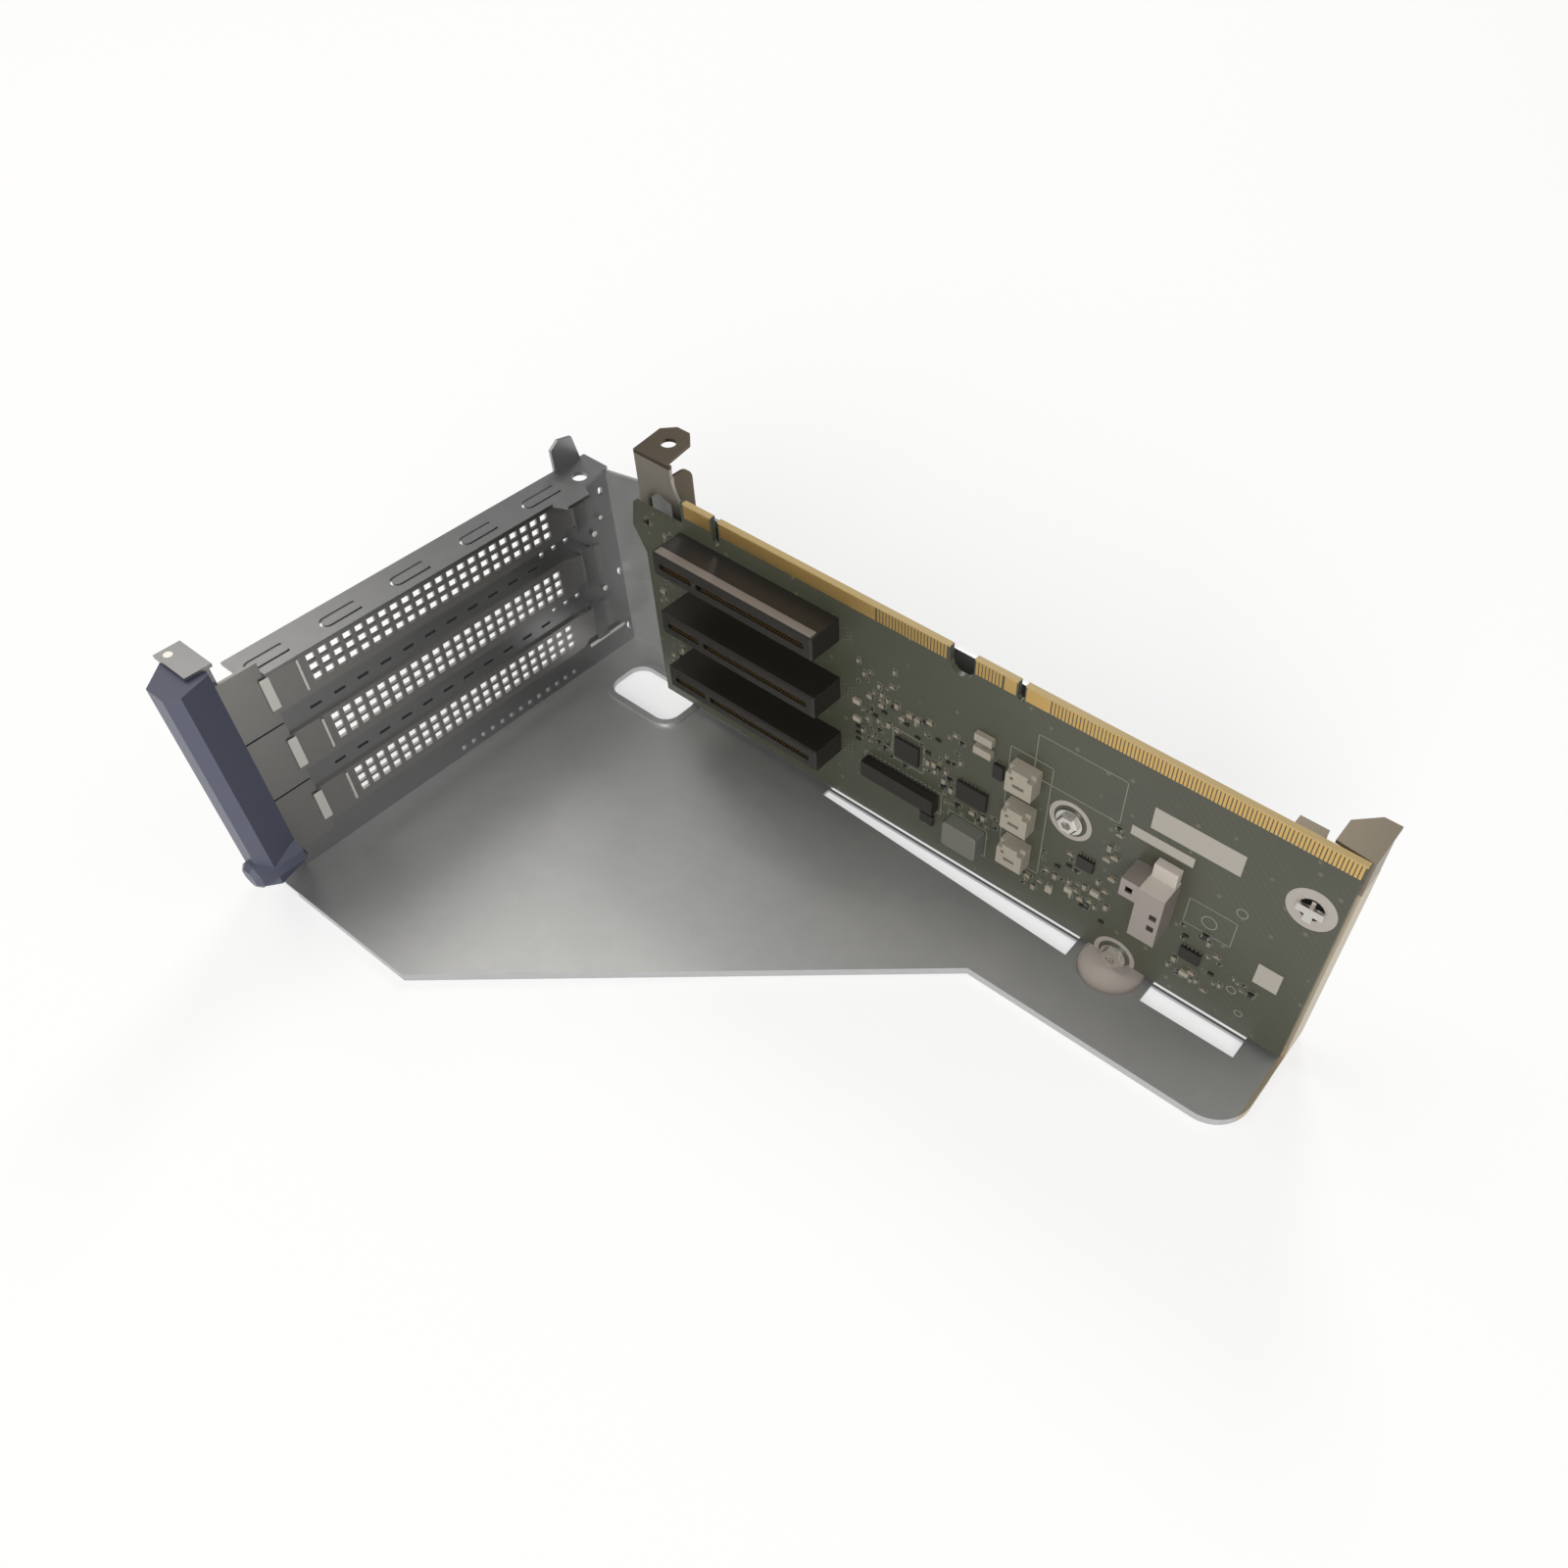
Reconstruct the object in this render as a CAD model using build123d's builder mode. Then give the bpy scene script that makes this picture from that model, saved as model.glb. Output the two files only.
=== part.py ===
from build123d import *
import os

# A riser cage for a rack server, lying on its top plate as it does on a bench.
# X runs along the riser board away from the rear panel, -Y from the board
# towards the card retention latch, +Z up. Millimetres.

# Cage sheet metal. Depths are taken from the riser board's front face,
# lengths from the rear panel's inner face, heights from the top of the plate.
sheet = 1.0
hem_gap = 0.6            # daylight inside the folded hem
hem_width = 5.0          # how far the hem folds back under the plate
cage_length = 244.5
flange_depth = 10.6      # rear panel's flanges, outwards
panel_height = 64.0
left_depth = 121.5       # plate's edge beside the latch
left_length = 49.5       # straight stretch of that edge
knee_x = 164.0           # where the slanting front edge meets the narrow end
knee_depth = 26.5
corner_radius = 11.0
wall_gap = 12.0          # back wall behind the board's front face
wall_height = 66.0
wall_low = 62.8          # wall beside the rear panel
wall_rise_end = 16.0
bend = 1.0
board_thickness = 1.57

# Card slots
slot_pitch = 20.32
slot_count = 3
top_slot_height = 57.26  # middle of the uppermost cover
cover_sheet = 0.9
cover_length = 114.0     # board face to the covers' bent ends
cover_high = 5.6         # blade above and below the middle of its cover
cover_low = 6.9
cover_end_half = 9.9     # wide end next to the latch
cover_end_length = 11.0
cover_tab = 9.8          # bent end, outwards
cover_gap = 0.1          # room above the blade, under the panel's flange
tongue_half = 4.9
tongue_start = 6.0
tongue_tip = 4.4
hole_size = 2.3
hole_pitch = 3.67
hole_row_pitch = 3.09
hole_columns = 22
first_hole = 13.1
window_edge = 1.6        # panel window outside the hole field
wide_rib_depth = 103.3
wide_rib_width = 3.0
thin_rib_depth = 94.0
thin_rib_width = 1.1
rib_height = 0.5
rib_taper = 20           # degrees

# Long slots in the plate under the board, and the pocket below the lower screw
slot_front = 6.2
slot_narrow = 2.6        # front edge of the long slot at its narrow end
slot_mid = 0.1
slot_web = 0.8
slot_back = 3.6
slot_start = 93.0
slot_gap = 11.8          # slot ends either side of the pocket
slot_end = 234.0
pocket_x = 194.0
pocket_depth = 1.5
pocket_centre = 1.5
pocket_radius = 10.6
pocket_back = 4.0

# Rounded cut-out in the plate near the inner corner
window_start = 8.5
window_length = 30.5
window_front = 13.0
window_back = 6.0
window_radius = 7.0
rim_width = 2.0
rim_height = 0.8

# Wall tabs at the far end
tab_left = 234.5
tab_height = 78.0
tab_reach = 3.0          # tab behind the wall
tab_chamfer = 5.5
end_flange_gap = 0.6     # end flange behind the board
small_tab_left = 224.6
small_tab_right = 231.8
small_tab_height = 75.0
small_tab_front = 4.3
small_tab_back = 7.7

# Riser board
board_start = 26.8
board_end = 243.6
board_bottom = 2.0
board_top = 78.4
shoulder_height = 70.2
shoulder_end = 43.2
edge_start_left = 24.3
bulge_start = 22.7       # board bulges towards the panel above its left edge
bulge_low = 54.3
bulge_high = 62.0
lobe_radius = 4.3
notches = ((54.5, 56.8, 70.0), (133.6, 140.9, 70.8), (153.7, 155.7, 72.9))
contact_height = 4.6
contact_thickness = 0.05
contact_pitch = 1.0
contact_width = 0.7

# Card connectors
connector_start = 42.0
connector_length = 56.3
connector_height = 11.25
connector_width = 7.4
card_offset = 7.2        # card plane above the middle of its cover
groove_width = 1.75
groove_depth = 8.1
groove_end = 2.6
key_offset = 11.65
key_width = 1.9

# Fasteners and formed hook
upper_screw = (173.4, 43.2)
lower_screw = (193.4, 3.2)
hook_place = (236.2, 57.8)
shank_radius = 1.4
shank_clearance = 0.2
thread_clearance = 0.05
head_radius = 3.9
head_height = 2.2
flange_radius = 4.6
flange_height = 0.8
stud_radius = 2.9
pad_outer = 6.3
pad_inner = 4.9
hook_hole = 3.3
hook_half = 1.1
hook_head_half = 3.4

# Latch
pin_radius = 1.1
pin_clearance = 0.08
hinge_out = 8.2          # hinge line behind the panel face
barrel_radius = 2.4
latch_gap = 0.3          # latch to the covers' bent ends
latch_body = 11.8
latch_front = 3.4
ridge_front = 5.8
ridge_back = 3.2         # ridge ahead of the latch's outer face
latch_wall = 1.8
latch_clearance = 0.25   # latch between its two ears
ear_high = 74.0
ear_low = 5.0
ear_depth = 120.0
ear_front = 2.0
thumb_radius = 4.4
thumb_reach = 2.5        # thumb tab beyond the latch's outer face
thumb_x = 2.0
thumb_height = 10.9

# Foot bracket beside the board's shoulder
foot_left = 22.8
foot_right = 36.3
foot_top = 84.0
foot_bottom = 58.0
foot_gap = 4.0           # leg behind the board's front face
foot_reach = 15.4        # foot tab behind the leg
foot_hole = 2.2
foot_hole_place = (28.1, 12.1)
wing_low = 50.0
wing_flange = 9.0
wing_top = 80.5

plate_top = 2 * sheet + hem_gap
wall_back = wall_gap + sheet
latch_inner = cover_length + cover_sheet + latch_gap
latch_depth = latch_inner + latch_body
ridge_depth = latch_depth - ridge_back
hinge_depth = latch_inner + barrel_radius
front_reach = latch_depth + thumb_reach
back_reach = foot_gap + foot_reach
panel_x = (flange_depth - cage_length) / 2
board_y = (front_reach - back_reach) / 2

os.makedirs("parts", exist_ok=True)


def x(length):
    return panel_x + length


def y(depth):
    return board_y - depth


def z(height):
    return plate_top + height


def save(piece, name):
    piece.part.label = name
    export_step(piece.part, "parts/" + name + ".step")


def block(x0, x1, depth0, depth1, z0, z1, mode=Mode.ADD):
    # a rectangular prism between two corners of the working frame
    with Locations((x(x0), y(depth0), z(z0))):
        Box(x1 - x0, depth0 - depth1, z1 - z0, align=Align.MIN, mode=mode)


def face_at(depth):
    # a plane facing the latch side, its sketch axes along X and Z from the cage's own zero
    return Plane(origin=(x(0), y(depth), z(0)), x_dir=(1, 0, 0), z_dir=(0, -1, 0))


def side_at(length):
    # a plane facing along X, its sketch axes along Y and Z
    return Plane(origin=(x(length), y(0), z(0)), x_dir=(0, 1, 0), z_dir=(1, 0, 0))


def level_at(height):
    # a plane facing up, its sketch axes along X and Y
    return Plane(origin=(x(0), y(0), z(height)), x_dir=(1, 0, 0), z_dir=(0, 0, 1))


slot_heights = [top_slot_height - index * slot_pitch for index in range(slot_count)]
corner_x = cage_length - corner_radius
corner_depth = knee_depth - corner_radius
free_edge = ((hem_width, -left_depth), (left_length, -left_depth), (knee_x, -knee_depth), (corner_x, -knee_depth))

with BuildPart() as cage_shell:
    with BuildSketch(level_at(-sheet)):
        with BuildLine():
            Polyline((-flange_depth, wall_back), (-flange_depth, -left_depth), *free_edge)
            RadiusArc((corner_x, -knee_depth), (cage_length, -corner_depth), -corner_radius)
            Polyline((cage_length, -corner_depth), (cage_length, wall_back), (-flange_depth, wall_back))
        make_face()
    extrude(amount=sheet)
    # hem: a turned-down edge and a return leg under the plate's free edges
    for reach, height in ((hem_width, sheet), (sheet, plate_top)):
        with BuildSketch(level_at(-plate_top)):
            with BuildLine():
                Polyline(*free_edge)
                RadiusArc((corner_x, -knee_depth), (cage_length, -corner_depth), -corner_radius)
                Line((cage_length, -corner_depth), (cage_length, -hem_width))
                offset(amount=reach, side=Side.LEFT, kind=Kind.INTERSECTION)
            make_face()
        extrude(amount=height)
    # back wall bent up from the plate, lower beside the rear panel
    with BuildSketch(face_at(-wall_back)):
        with BuildLine():
            Polyline((wall_rise_end, wall_height), (cage_length, wall_height), (cage_length, -sheet),
                     (-cover_sheet, -sheet), (-cover_sheet, wall_low), close=True)
        make_face()
    extrude(amount=sheet)
    # end flange returning to the board, and the tab bent over from its top
    flange_front = board_thickness + end_flange_gap
    block(cage_length - sheet, cage_length, -flange_front, -wall_gap, -sheet, tab_height)
    with BuildSketch(level_at(tab_height - sheet)):
        Polygon((tab_left, flange_front + bend), (cage_length - sheet, flange_front), (cage_length, flange_front),
                (cage_length, wall_back + tab_reach), (tab_left + tab_chamfer, wall_back + tab_reach),
                (tab_left, wall_back + tab_reach - tab_chamfer), align=None)
    extrude(amount=sheet)
    # stepped tab on the wall's top edge
    for back, front, low, high in ((wall_gap, small_tab_back - sheet, wall_height - sheet, wall_height),
                                   (small_tab_back, small_tab_back - sheet, wall_height - sheet, small_tab_height),
                                   (small_tab_back, small_tab_front, small_tab_height - sheet, small_tab_height)):
        block(small_tab_left, small_tab_right, -front, -back, low, high)
    # long slots under the board, front and rear rows with a narrow web between
    with BuildSketch(level_at(0)):
        for start, end, narrow in ((slot_start, pocket_x - slot_gap, slot_narrow),
                                   (pocket_x + slot_gap, slot_end, slot_front)):
            Polygon((start, -narrow), (end, -slot_front), (end, -slot_mid), (start, -slot_mid), align=None)
            Polygon((start, slot_web - slot_mid), (end, slot_web - slot_mid), (end, slot_back), (start, slot_back),
                    align=None)
    extrude(amount=-sheet, mode=Mode.SUBTRACT)
    # half-round pocket that clears the lower screw
    for radius, floor, mode in ((pocket_radius, -pocket_depth - sheet, Mode.ADD),
                                (pocket_radius - sheet, -pocket_depth, Mode.SUBTRACT)):
        with BuildSketch(level_at(floor)):
            with Locations((pocket_x, -pocket_centre)):
                Circle(radius)
            with Locations((pocket_x, pocket_back)):
                Rectangle(4 * radius, 2 * radius, align=(Align.CENTER, Align.MIN), mode=Mode.SUBTRACT)
        extrude(amount=-floor, mode=mode)
    # rounded cut-out with a raised rim
    with BuildSketch(level_at(0)):
        with Locations((window_start + window_length / 2, -(window_front - window_back) / 2)):
            RectangleRounded(window_length, window_front + window_back, window_radius)
    extrude(amount=rim_height)
    with BuildSketch(level_at(rim_height)):
        with Locations((window_start + window_length / 2, -(window_front - window_back) / 2)):
            RectangleRounded(window_length - 2 * rim_width, window_front + window_back - 2 * rim_width,
                             window_radius - rim_width)
    extrude(amount=-rim_height - sheet, mode=Mode.SUBTRACT)
    # standoffs pressed into the wall behind the two board screws
    with BuildSketch(face_at(-wall_gap)):
        with Locations(upper_screw, lower_screw):
            Circle(stud_radius)
    extrude(amount=wall_gap - board_thickness)
    with BuildSketch(face_at(-wall_back)):
        with Locations(upper_screw, lower_screw):
            Circle(shank_radius + thread_clearance)
    extrude(amount=wall_back, mode=Mode.SUBTRACT)
save(cage_shell, "cage_shell")

# Rear panel: web, rearward flanges, ledge for the covers' bent ends, latch ears
panel_front = -cover_sheet
panel_rear = -cover_sheet - sheet
panel_back = wall_back
flange_end = 107.0
flange_lip = 1.2
lip_end = cover_length - cover_end_length - cover_gap
lug_start = -1.0
lug_end = 9.0
lug_reach = 5.5
finger_cuts = ((105.0, 92.0), (83.2, 70.4), (61.4, 48.6), (38.4, 25.6), (16.4, 2.6))
finger_cut_x = -3.8
finger_cut_width = 4.4
finger_slit = 0.7
flange_hole_place = (-3.0, 4.2)
flange_hole = 2.2
rear_ear_height = 72.0
rear_ear_start = 1.0
rear_ear_end = 11.0
divider_hole = 1.5
divider_holes = (6.7, 11.3, 15.9)
divider_hole_drop = 8.46
slit_drop = 11.3
slit_length = 3.4
slit_height = 0.9
slit_pitch = 7.34
slit_number = 11
slit_start = 20.0
bottom_hole_number = 13
bottom_hole_start = 13.8
bottom_hole_height = 2.6
oval_holes = ((8.9, 57.6), (10.7, 27.6), (10.7, 6.0))
oval_length = 2.8
oval_width = 1.5
bridge_reach = 1.1
bridge_half = 6.6
bridge_start = 3.2
bridge_end = -1.2
ear_hole_depth = 3.0

with BuildPart() as rear_panel:
    with BuildSketch(side_at(panel_front)):
        with BuildLine():
            Polyline((-cover_length + sheet, 0), (panel_back, 0), (panel_back, wall_low - sheet),
                     (panel_back - sheet, panel_height), (-cover_length + sheet, panel_height), close=True)
        make_face()
    extrude(amount=-sheet)
    # flanges along the top and the bottom
    with BuildSketch(level_at(panel_height - sheet)):
        with BuildLine():
            Polyline((-flange_depth, -flange_end), (panel_front, -flange_end), (panel_front, -lip_end),
                     (flange_lip, -lip_end), (flange_lip, -lug_end - bend),
                     (lug_reach, -lug_end + bend), (lug_reach, -lug_start - bend), (flange_lip, -lug_start + bend),
                     (panel_rear + sheet, panel_back), (-flange_depth, panel_back), close=True)
        make_face()
    extrude(amount=sheet)
    block(-flange_depth, panel_front, cover_length - sheet, -wall_gap + sheet, 0, sheet)
    # ledge behind the covers' bent ends, with the two ears that carry the latch
    block(-flange_depth, panel_front, cover_length, cover_length - sheet, 0, ear_high + sheet)
    for height in (ear_high, ear_low):
        with BuildSketch(level_at(height)):
            with Locations(((ear_front - flange_depth) / 2, -(ear_depth + cover_length - sheet) / 2)):
                Rectangle(ear_front + flange_depth, ear_depth - cover_length + sheet)
            with Locations((-hinge_out, -hinge_depth)):
                Circle(pin_radius, mode=Mode.SUBTRACT)
        extrude(amount=sheet)
    # windows behind the covers' hole fields, and the finger cuts of the top flange
    with BuildSketch(side_at(panel_front)):
        for height in slot_heights:
            with Locations((-(first_hole + (hole_columns - 1) * hole_pitch / 2), height)):
                Rectangle((hole_columns - 1) * hole_pitch + hole_size + 2 * window_edge,
                          2 * hole_row_pitch + hole_size + window_edge)
        for height in slot_heights[:-1]:
            for depth in divider_holes:
                with Locations((-depth, height - divider_hole_drop)):
                    Rectangle(divider_hole, divider_hole)
            for index in range(slit_number):
                with Locations((-slit_start - index * slit_pitch, height - slit_drop)):
                    Rectangle(slit_length, slit_height)
        for index in range(bottom_hole_number):
            with Locations((-bottom_hole_start - index * hole_pitch, bottom_hole_height)):
                Rectangle(divider_hole, divider_hole)
        with Locations(*oval_holes):
            SlotOverall(oval_length, oval_width, rotation=90)
    extrude(amount=-sheet, mode=Mode.SUBTRACT)
    with BuildSketch(level_at(panel_height)):
        for start, end in finger_cuts:
            with Locations((finger_cut_x, -(start + end) / 2)):
                SlotOverall(start - end, finger_cut_width, rotation=90)
                SlotOverall(start - end - 2 * finger_slit, finger_cut_width - 2 * finger_slit, rotation=90,
                            mode=Mode.SUBTRACT)
            with Locations((finger_cut_x, -end)):
                Rectangle(finger_cut_width, finger_slit * 4, mode=Mode.SUBTRACT)
        with Locations(flange_hole_place):
            Circle(flange_hole)
    extrude(amount=-sheet, mode=Mode.SUBTRACT)
    # upright ear at the flange's back corner
    with BuildSketch(side_at(-flange_depth)):
        with BuildLine():
            Polyline((rear_ear_start, panel_height - sheet), (rear_ear_start, rear_ear_height - bend),
                     (rear_ear_start + 3 * bend, rear_ear_height + bend), (rear_ear_end - 2 * bend, rear_ear_height),
                     (rear_ear_end, panel_height - sheet), close=True)
        make_face()
    extrude(amount=sheet)
    # straps bridging the covers' tongues
    for height in slot_heights:
        block(0, bridge_reach, bridge_start, bridge_end, height - bridge_half, height + bridge_half)
        for low in (height - bridge_half, height + bridge_half - bridge_reach):
            block(panel_front, 0, bridge_start, bridge_end, low, low + bridge_reach)
save(rear_panel, "rear_panel")

# Slot covers: bent end under the latch, ribs, hole field, tongue under its strap
for number, height in enumerate(slot_heights, start=1):
    with BuildPart() as slot_cover:
        with BuildSketch(side_at(0)):
            with BuildLine():
                Polyline(
                    (-cover_length - cover_sheet, height + cover_end_half),
                    (-cover_length + cover_end_length, height + cover_end_half),
                    (-cover_length + cover_end_length, height + cover_high - cover_gap),
                    (-tongue_start - cover_low + tongue_half, height + cover_high - cover_gap),
                    (-tongue_start, height + tongue_half),
                    (tongue_tip, height + tongue_half),
                    (tongue_tip, height - tongue_half),
                    (-tongue_start, height - tongue_half),
                    (-tongue_start - cover_low + tongue_half, height - cover_low),
                    (-cover_length + cover_end_length, height - cover_low),
                    (-cover_length + cover_end_length, height - cover_end_half),
                    (-cover_length - cover_sheet, height - cover_end_half),
                    close=True,
                )
            make_face()
            with Locations((-(first_hole + (hole_columns - 1) * hole_pitch / 2), height)):
                with GridLocations(hole_pitch, hole_row_pitch, hole_columns, 3):
                    Rectangle(hole_size, hole_size, mode=Mode.SUBTRACT)
        extrude(amount=-cover_sheet)
        block(-cover_tab, 0, cover_length + cover_sheet, cover_length,
              height - cover_end_half, height + cover_end_half)
        with BuildSketch(side_at(0)):
            with Locations((-wide_rib_depth, height - bend + rib_height / 2)):
                Rectangle(wide_rib_width, 2 * cover_high - bend)
            with Locations((-thin_rib_depth, height)):
                Rectangle(thin_rib_width, 2 * cover_high - bend)
        extrude(amount=rib_height, taper=rib_taper)
    save(slot_cover, "slot_cover_" + str(number))

# Card retention latch: a hollow moulded bar hinged between the two ears
latch_top = ear_high - latch_clearance
latch_bottom = ear_low + sheet + latch_clearance
pocket_walls = ((9.0, 25.2), (27.4, 45.6), (47.8, 66.0))
latch_back = -3.0
thumb_bevel = 1.4
with BuildPart() as retention_latch:
    with BuildSketch(level_at(latch_bottom)):
        with BuildLine():
            Polyline((-hinge_out, -latch_inner), (latch_front, -latch_inner), (ridge_front, -ridge_depth),
                     (latch_front, -latch_depth), (latch_back, -latch_depth),
                     (-hinge_out - barrel_radius, -hinge_depth), close=True)
        make_face()
        with Locations((-hinge_out, -hinge_depth)):
            Circle(barrel_radius)
    extrude(amount=latch_top - latch_bottom)
    for low, high in pocket_walls:
        with BuildSketch(level_at(low)):
            with BuildLine():
                Polyline((-hinge_out + barrel_radius + latch_wall, -latch_inner),
                         (latch_front - latch_wall, -latch_inner),
                         (ridge_front - latch_wall, -ridge_depth), (latch_front - latch_wall, -latch_depth + latch_wall),
                         (latch_back + latch_wall, -latch_depth + latch_wall), close=True)
            make_face()
        extrude(amount=high - low, mode=Mode.SUBTRACT)
    with BuildSketch(face_at(latch_inner)):
        with Locations((thumb_x, thumb_height)):
            RegularPolygon(thumb_radius, 8, rotation=22.5)
    extrude(amount=latch_depth + thumb_reach - latch_inner)
    chamfer(retention_latch.faces().sort_by(Axis.Y)[0].edges(), thumb_bevel)
    with BuildSketch(level_at(latch_bottom)):
        with Locations((-hinge_out, -hinge_depth)):
            Circle(pin_radius + pin_clearance)
    extrude(amount=latch_top - latch_bottom, mode=Mode.SUBTRACT)
save(retention_latch, "retention_latch")

with BuildPart() as latch_pin:
    with BuildSketch(level_at(ear_low)):
        with Locations((-hinge_out, -hinge_depth)):
            Circle(pin_radius)
    extrude(amount=ear_high + sheet - ear_low)
save(latch_pin, "latch_pin")

# Foot bracket: leg in front of the wall, octagonal foot on top, curved wing at its side
leg_foot = 39.0
leg_waist = 73.0
arch_left = 26.4
arch_top = 73.4
foot_corner = 3.6
foot_front_cut = 1.6
wing_back = wall_gap
with BuildPart() as foot_bracket:
    with BuildSketch(face_at(-foot_gap - sheet)):
        with BuildLine():
            Polyline((foot_left, foot_bottom), (foot_left, foot_top), (foot_right, foot_top))
            RadiusArc((foot_right, foot_top), (leg_foot, leg_waist), -4 * foot_corner)
            Polyline((leg_foot, leg_waist), (leg_foot, foot_bottom), (foot_left, foot_bottom))
        make_face()
        with BuildLine():
            Polyline((arch_left, foot_bottom), (arch_left, arch_top - foot_corner),
                     (arch_left + foot_corner, arch_top), (foot_right - sheet, arch_top - foot_corner / 2),
                     (foot_right - sheet, foot_bottom), close=True)
        make_face(mode=Mode.SUBTRACT)
    extrude(amount=sheet)
    with BuildSketch(level_at(foot_top - sheet)):
        with BuildLine():
            Polyline((foot_left, foot_gap), (foot_left - foot_front_cut, foot_gap + foot_reach - foot_corner),
                     (foot_left + foot_front_cut, foot_gap + foot_reach),
                     (foot_right - 2 * foot_corner, foot_gap + foot_reach),
                     (foot_right - foot_corner, foot_gap + foot_reach - foot_corner),
                     (foot_right - foot_front_cut, foot_gap), close=True)
        make_face()
        with Locations(foot_hole_place):
            Circle(foot_hole, mode=Mode.SUBTRACT)
    extrude(amount=sheet)
    # wing returning from the leg to the wall, with a flange riveted to the wall
    with BuildSketch(side_at(foot_right)):
        with BuildLine():
            Polyline((foot_gap, wing_low), (foot_gap, wing_top), (wing_back - foot_corner, wing_top))
            RadiusArc((wing_back - foot_corner, wing_top), (wing_back, wing_top - foot_corner), foot_corner)
            Polyline((wing_back, wing_top - foot_corner), (wing_back, wing_low), (foot_gap, wing_low))
        make_face()
    extrude(amount=-sheet)
    block(foot_right - sheet, foot_right + wing_flange, -wing_back + sheet, -wing_back, wing_low, wall_height - bend)
save(foot_bracket, "foot_bracket")

# Riser board
with BuildPart() as riser_board:
    with BuildSketch(face_at(-board_thickness)):
        with BuildLine():
            Polyline((edge_start_left, shoulder_height), (shoulder_end, shoulder_height), (shoulder_end, board_top),
                     (board_end, board_top), (board_end, board_bottom), (board_start, board_bottom),
                     (board_start, bulge_low), (bulge_start, bulge_high), (edge_start_left, shoulder_height))
        make_face()
        for start, end, floor in notches:
            with Locations(((start + end) / 2, (board_top + floor) / 2 + end - start)):
                RectangleRounded(end - start, board_top - floor + 2 * (end - start), (end - start) / 2.1,
                                 mode=Mode.SUBTRACT)
        with Locations(lower_screw):
            Circle(lobe_radius)
        with Locations(upper_screw, lower_screw):
            Circle(shank_radius + shank_clearance, mode=Mode.SUBTRACT)
        with Locations(hook_place):
            Circle(hook_hole, mode=Mode.SUBTRACT)
    extrude(amount=board_thickness)
save(riser_board, "riser_board")

# Gold contacts of the board's card edge, on both faces
contact_fields = ((44.4, 53.9, 9.5), (57.4, 110.2, 52.8), (110.8, 133.2, contact_width),
                  (141.3, 149.4, contact_width), (149.7, 153.2, 3.5), (156.1, 163.0, 6.9),
                  (163.4, 243.2, contact_width))
with BuildPart() as edge_contacts:
    for depth in (0, -board_thickness - contact_thickness):
        with BuildSketch(face_at(depth)):
            for start, end, width in contact_fields:
                count = 1 + int((end - start - width) / contact_pitch)
                for index in range(count):
                    middle = start + width / 2 + index * contact_pitch
                    with Locations((middle, board_top - contact_height / 2)):
                        Rectangle(width, contact_height)
        extrude(amount=contact_thickness)
save(edge_contacts, "edge_contacts")

# Card connectors
connector_wall_cut = 1.1
for number, height in enumerate(slot_heights, start=1):
    with BuildPart() as card_connector:
        with BuildSketch(face_at(0)):
            with Locations((connector_start + connector_length / 2, height + card_offset)):
                Rectangle(connector_length, connector_width)
        extrude(amount=connector_height)
        chamfer(card_connector.faces().sort_by(Axis.Y)[0].edges(), connector_wall_cut / 2)
        with BuildSketch(face_at(connector_height)):
            with Locations((connector_start + groove_end, height + card_offset)):
                Rectangle(key_offset, groove_width, align=(Align.MIN, Align.CENTER))
            with Locations((connector_start + groove_end + key_offset + key_width, height + card_offset)):
                Rectangle(connector_length - 2 * groove_end - key_offset - key_width, groove_width,
                          align=(Align.MIN, Align.CENTER))
        extrude(amount=-groove_depth, mode=Mode.SUBTRACT)
    save(card_connector, "card_connector_" + str(number))

# Fasteners, their ground pads and the formed hook
recess_radius = 1.5
recess_depth = 1.3
with BuildPart() as board_screws:
    with BuildSketch(face_at(0)):
        with Locations(upper_screw, lower_screw):
            Circle(head_radius)
    extrude(amount=flange_height)
    with BuildSketch(face_at(flange_height)):
        with Locations(upper_screw, lower_screw):
            RegularPolygon(head_radius - contact_width, 6)
    extrude(amount=head_height - flange_height)
    chamfer(board_screws.faces().sort_by(Axis.Y)[0].edges(), rib_height)
    with BuildSketch(face_at(head_height)):
        with Locations(upper_screw, lower_screw):
            RegularPolygon(recess_radius, 6)
    extrude(amount=-recess_depth, mode=Mode.SUBTRACT)
    with BuildSketch(face_at(-wall_gap)):
        with Locations(upper_screw, lower_screw):
            Circle(shank_radius)
    extrude(amount=wall_gap)
save(board_screws, "board_screws")

with BuildPart() as ground_pads:
    with BuildSketch(face_at(0)):
        with Locations(upper_screw, lower_screw, hook_place):
            Circle(pad_outer)
        with Locations(upper_screw, lower_screw):
            Circle(pad_inner, mode=Mode.SUBTRACT)
        with Locations(hook_place):
            Circle(hook_hole, mode=Mode.SUBTRACT)
        with Locations(((edge_start_left + board_end) / 2, board_bottom)):
            Rectangle(board_end, 3 * pad_outer, align=(Align.CENTER, Align.MAX), mode=Mode.SUBTRACT)
    extrude(amount=contact_thickness)
save(ground_pads, "ground_pads")

with BuildPart() as board_hook:
    with BuildSketch(face_at(-wall_gap)):
        with Locations(hook_place):
            Rectangle(sheet, 2 * hook_hole - hook_half)
    extrude(amount=wall_gap + contact_thickness)
    with BuildSketch(face_at(contact_thickness)):
        with Locations(hook_place):
            Rectangle(2 * hook_head_half, 2 * hook_half)
            Rectangle(2 * hook_half, hook_head_half, align=(Align.CENTER, Align.MAX))
    extrude(amount=sheet)
save(board_hook, "board_hook")

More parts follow.
